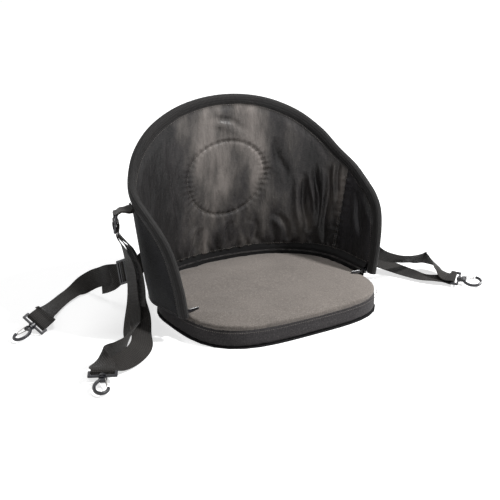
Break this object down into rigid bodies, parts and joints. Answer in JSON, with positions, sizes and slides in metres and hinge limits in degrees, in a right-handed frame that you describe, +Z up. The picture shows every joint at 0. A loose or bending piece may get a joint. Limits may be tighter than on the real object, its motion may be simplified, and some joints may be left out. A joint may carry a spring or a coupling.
{
  "type": "kayak seat",
  "caption": "Soft clip-in kayak seat: a round-backed foam pad zipped to a tall wrap-around backrest, with webbing straps and swivel snap hooks.",
  "frame": {"origin": "middle of the pad's flat underside, on the floor", "axes": "+Z up, +X to the right in the picture, so -Y is the way the sitter faces"},
  "size_m": [0.8891, 0.4579, 0.3806],
  "materials": {
    "outer_cloth": "woven canvas",
    "satin_lining": "satin nylon",
    "foam": "closed-cell foam",
    "base_cloth": "coarse cloth",
    "binding_tape": "ribbed tape",
    "zip_tape": "woven tape",
    "webbing": "ribbed webbing",
    "black_plastic": "moulded, slight sheen",
    "steel_wire": "bright wire"
  },
  "bodies": {
    "root": {"seat_underside_panel": "base_cloth", "seat_foam": "foam", "seat_top_cover": "outer_cloth", "seat_side_band": "outer_cloth", "back_foam_board": "foam", "back_outer_cover": "outer_cloth", "back_lining_left": "satin_lining", "back_lining_centre": "satin_lining", "back_lining_right": "satin_lining", "back_rim_binding": "binding_tape", "seat_zip_tape": "zip_tape", "back_zip_tape": "zip_tape", "zip_chain": "black_plastic", "zip_slider_left": "black_plastic", "zip_slider_right": "black_plastic", "tab_front_left": "webbing", "ladder_lock_front_left": "black_plastic", "strap_front_left": "webbing", "hook_base_front_left": "black_plastic", "tab_front_right": "webbing", "ladder_lock_front_right": "black_plastic", "strap_front_right": "webbing", "hook_base_front_right": "black_plastic", "tab_rear_left": "webbing", "ladder_lock_rear_left": "black_plastic", "strap_rear_left": "webbing", "hook_base_rear_left": "black_plastic", "tab_rear_right": "webbing", "ladder_lock_rear_right": "black_plastic", "strap_rear_right": "webbing", "hook_base_rear_right": "black_plastic"},
    "hook_front_left": {"hook_front_left": "black_plastic"},
    "gate_front_left": {"wire_gate_front_left": "steel_wire"},
    "hook_front_right": {"hook_front_right": "black_plastic"},
    "gate_front_right": {"wire_gate_front_right": "steel_wire"},
    "hook_rear_left": {"hook_rear_left": "black_plastic"},
    "gate_rear_left": {"wire_gate_rear_left": "steel_wire"},
    "hook_rear_right": {"hook_rear_right": "black_plastic"},
    "gate_rear_right": {"wire_gate_rear_right": "steel_wire"},
    "pull_left": {"zip_pull_left": "black_plastic"},
    "pull_right": {"zip_pull_right": "black_plastic"}
  },
  "joints": [
    {"name": "hook_swivel_front_left", "type": "hinge", "parent": "root", "child": "hook_front_left", "pos_m": [-0.39312, -0.14906, 0.01226], "axis": [-0.4454, -0.8809, -0.1602], "continuous": true},
    {"name": "gate_hinge_front_left", "type": "hinge", "parent": "hook_front_left", "child": "gate_front_left", "pos_m": [-0.39062, -0.15663, 0.01134], "axis": [-0.0716, -0.1433, 0.9871], "range_deg": [-30, 0], "stiffness_Nm_per_rad": 0.02, "springref_deg": 5.73},
    {"name": "hook_swivel_front_right", "type": "hinge", "parent": "root", "child": "hook_front_right", "pos_m": [0.39825, -0.12566, 0.01165], "axis": [0.5993, -0.799, -0.0499], "continuous": true},
    {"name": "gate_hinge_front_right", "type": "hinge", "parent": "hook_front_right", "child": "gate_front_right", "pos_m": [0.40569, -0.12737, 0.0141], "axis": [-0.3622, -0.3262, 0.8732], "range_deg": [-30, 0], "stiffness_Nm_per_rad": 0.02, "springref_deg": 5.73},
    {"name": "hook_swivel_rear_left", "type": "hinge", "parent": "root", "child": "hook_rear_left", "pos_m": [-0.42558, 0.09294, 0.01584], "axis": [-0.8526, -0.4714, -0.2257], "continuous": true},
    {"name": "gate_hinge_rear_left", "type": "hinge", "parent": "hook_rear_left", "child": "gate_rear_left", "pos_m": [-0.43317, 0.09519, 0.01456], "axis": [0.1966, 0.1108, -0.9742], "range_deg": [-30, 0], "stiffness_Nm_per_rad": 0.02, "springref_deg": 5.73},
    {"name": "hook_swivel_rear_right", "type": "hinge", "parent": "root", "child": "hook_rear_right", "pos_m": [0.02303, 0.24871, 0.00971], "axis": [-0.9921, 0.1002, -0.0752], "continuous": true},
    {"name": "gate_hinge_rear_right", "type": "hinge", "parent": "hook_rear_right", "child": "gate_rear_right", "pos_m": [0.01795, 0.2549, 0.00929], "axis": [0.0748, -0.0076, -0.9972], "range_deg": [-30, 0], "stiffness_Nm_per_rad": 0.02, "springref_deg": 5.73},
    {"name": "zip_pull_hinge_left", "type": "hinge", "parent": "root", "child": "pull_left", "pos_m": [-0.19322, -0.0559, 0.0479], "axis": [0, 0, 1], "range_deg": [-80, 80]},
    {"name": "zip_pull_hinge_right", "type": "hinge", "parent": "root", "child": "pull_right", "pos_m": [0.19322, -0.0559, 0.0479], "axis": [0, 0, 1], "range_deg": [-80, 80]}
  ]
}
